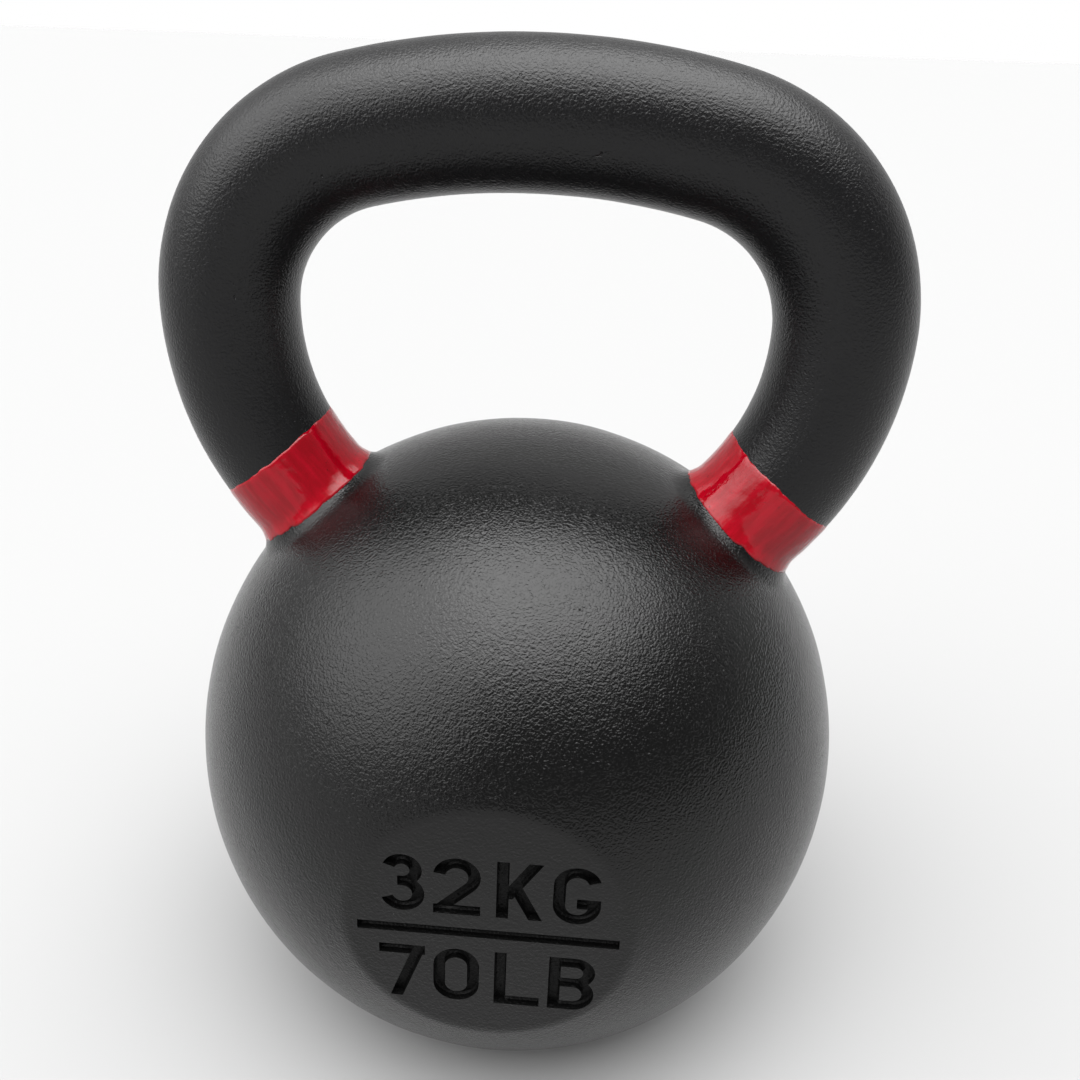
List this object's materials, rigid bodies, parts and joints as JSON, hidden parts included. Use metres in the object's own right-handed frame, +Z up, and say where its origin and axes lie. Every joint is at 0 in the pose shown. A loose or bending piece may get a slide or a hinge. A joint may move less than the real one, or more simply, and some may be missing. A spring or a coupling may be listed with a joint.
{
  "type": "kettlebell",
  "caption": "Solid cast-iron kettlebell: ball with a flat base and flat front and back facets, looped round-bar handle, enamel colour band at the foot of each horn.",
  "frame": {"origin": "centre of the flat base, on the floor", "axes": "+Z up; -Y is the front, which carries the weight mark; the handle lies in the XZ plane"},
  "size_m": [0.2092, 0.185, 0.2894],
  "materials": {
    "powder_coated_iron": "satin black powder coat with a fine orange-peel grain on cast iron",
    "powder_coated_grip": "satin black powder coat with a finer, smoother grain on cast iron",
    "red_enamel": "glossy brushed-on red enamel"
  },
  "bodies": {
    "root": {"ball": "powder_coated_iron", "handle": "powder_coated_grip", "left_colour_band": "red_enamel", "right_colour_band": "red_enamel"}
  },
  "joints": []
}
